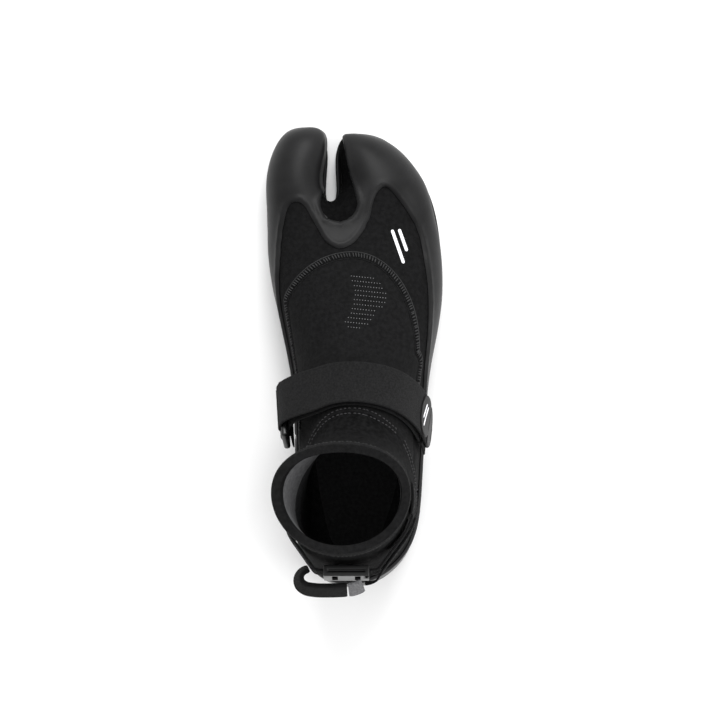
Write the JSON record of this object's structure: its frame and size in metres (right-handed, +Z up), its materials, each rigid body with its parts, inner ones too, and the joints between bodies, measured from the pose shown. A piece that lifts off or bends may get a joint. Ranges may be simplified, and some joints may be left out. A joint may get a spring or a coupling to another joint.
{
  "type": "split-toe neoprene reef boot",
  "caption": "Low neoprene water sports boot for the right foot, with a split toe, rubber toe cap and sole, a hook-and-loop instep strap and a slider strap at the heel.",
  "frame": {"origin": "centre of the boot's plan box, on the ground under the sole", "axes": "+Z up, +Y towards the toes, +X towards the little toe"},
  "size_m": [0.1084, 0.2814, 0.152],
  "materials": {
    "neoprene": "matt knitted jersey on foam",
    "rubber": "satin moulded rubber",
    "sole_rubber": "matt moulded rubber",
    "lining": "dark knitted lining",
    "grey_lining": "smooth grey lining",
    "foam": "covered foam",
    "webbing": "brushed woven webbing",
    "grey_end": "sealed webbing end",
    "hook_and_loop": "hook and loop tape",
    "plastic": "glossy black moulded plastic"
  },
  "bodies": {
    "boot": {"outsole": "sole_rubber", "rubber_rand": "rubber", "heel_counter": "rubber", "sole_sock": "neoprene", "vamp_panel": "neoprene", "split_gusset": "neoprene", "instep_panel": "neoprene", "heel_panel": "neoprene", "ankle_cuff": "neoprene", "collar_binding": "neoprene", "collar_lining": "grey_lining", "foot_lining": "lining", "insole": "foam", "strap_anchor": "webbing", "strap_under": "webbing", "loop_patch": "hook_and_loop", "strap_ring": "plastic", "ring_keeper": "webbing", "heel_strap": "webbing", "heel_sling": "webbing", "heel_anchor_lateral": "webbing", "heel_anchor_medial": "webbing"},
    "strap": {"strap_over": "webbing", "hook_patch": "hook_and_loop"},
    "tab": {"strap_tab": "plastic"},
    "slider": {"heel_slider": "plastic"},
    "loop": {"pull_loop": "webbing", "pull_loop_end": "grey_end"}
  },
  "joints": [
    {"name": "strap_peel", "type": "hinge", "parent": "boot", "child": "strap", "pos_m": [-0.04528, -0.03065, 0.06498], "axis": [0.102, -0.8086, 0.5795], "range_deg": [0, 120]},
    {"name": "tab_lift", "type": "hinge", "parent": "strap", "child": "tab", "pos_m": [0.04451, -0.04166, 0.04865], "axis": [-0.136, -0.7885, 0.5998], "range_deg": [0, 60]},
    {"name": "slider_slide", "type": "slide", "parent": "boot", "child": "slider", "axis": [1, 0, 0], "range_m": [-0.002, 0.002]},
    {"name": "loop_swing", "type": "hinge", "parent": "boot", "child": "loop", "pos_m": [-0.02593, -0.1221, 0.10563], "axis": [0, -0.2307, -0.973], "range_deg": [0, 24]}
  ]
}
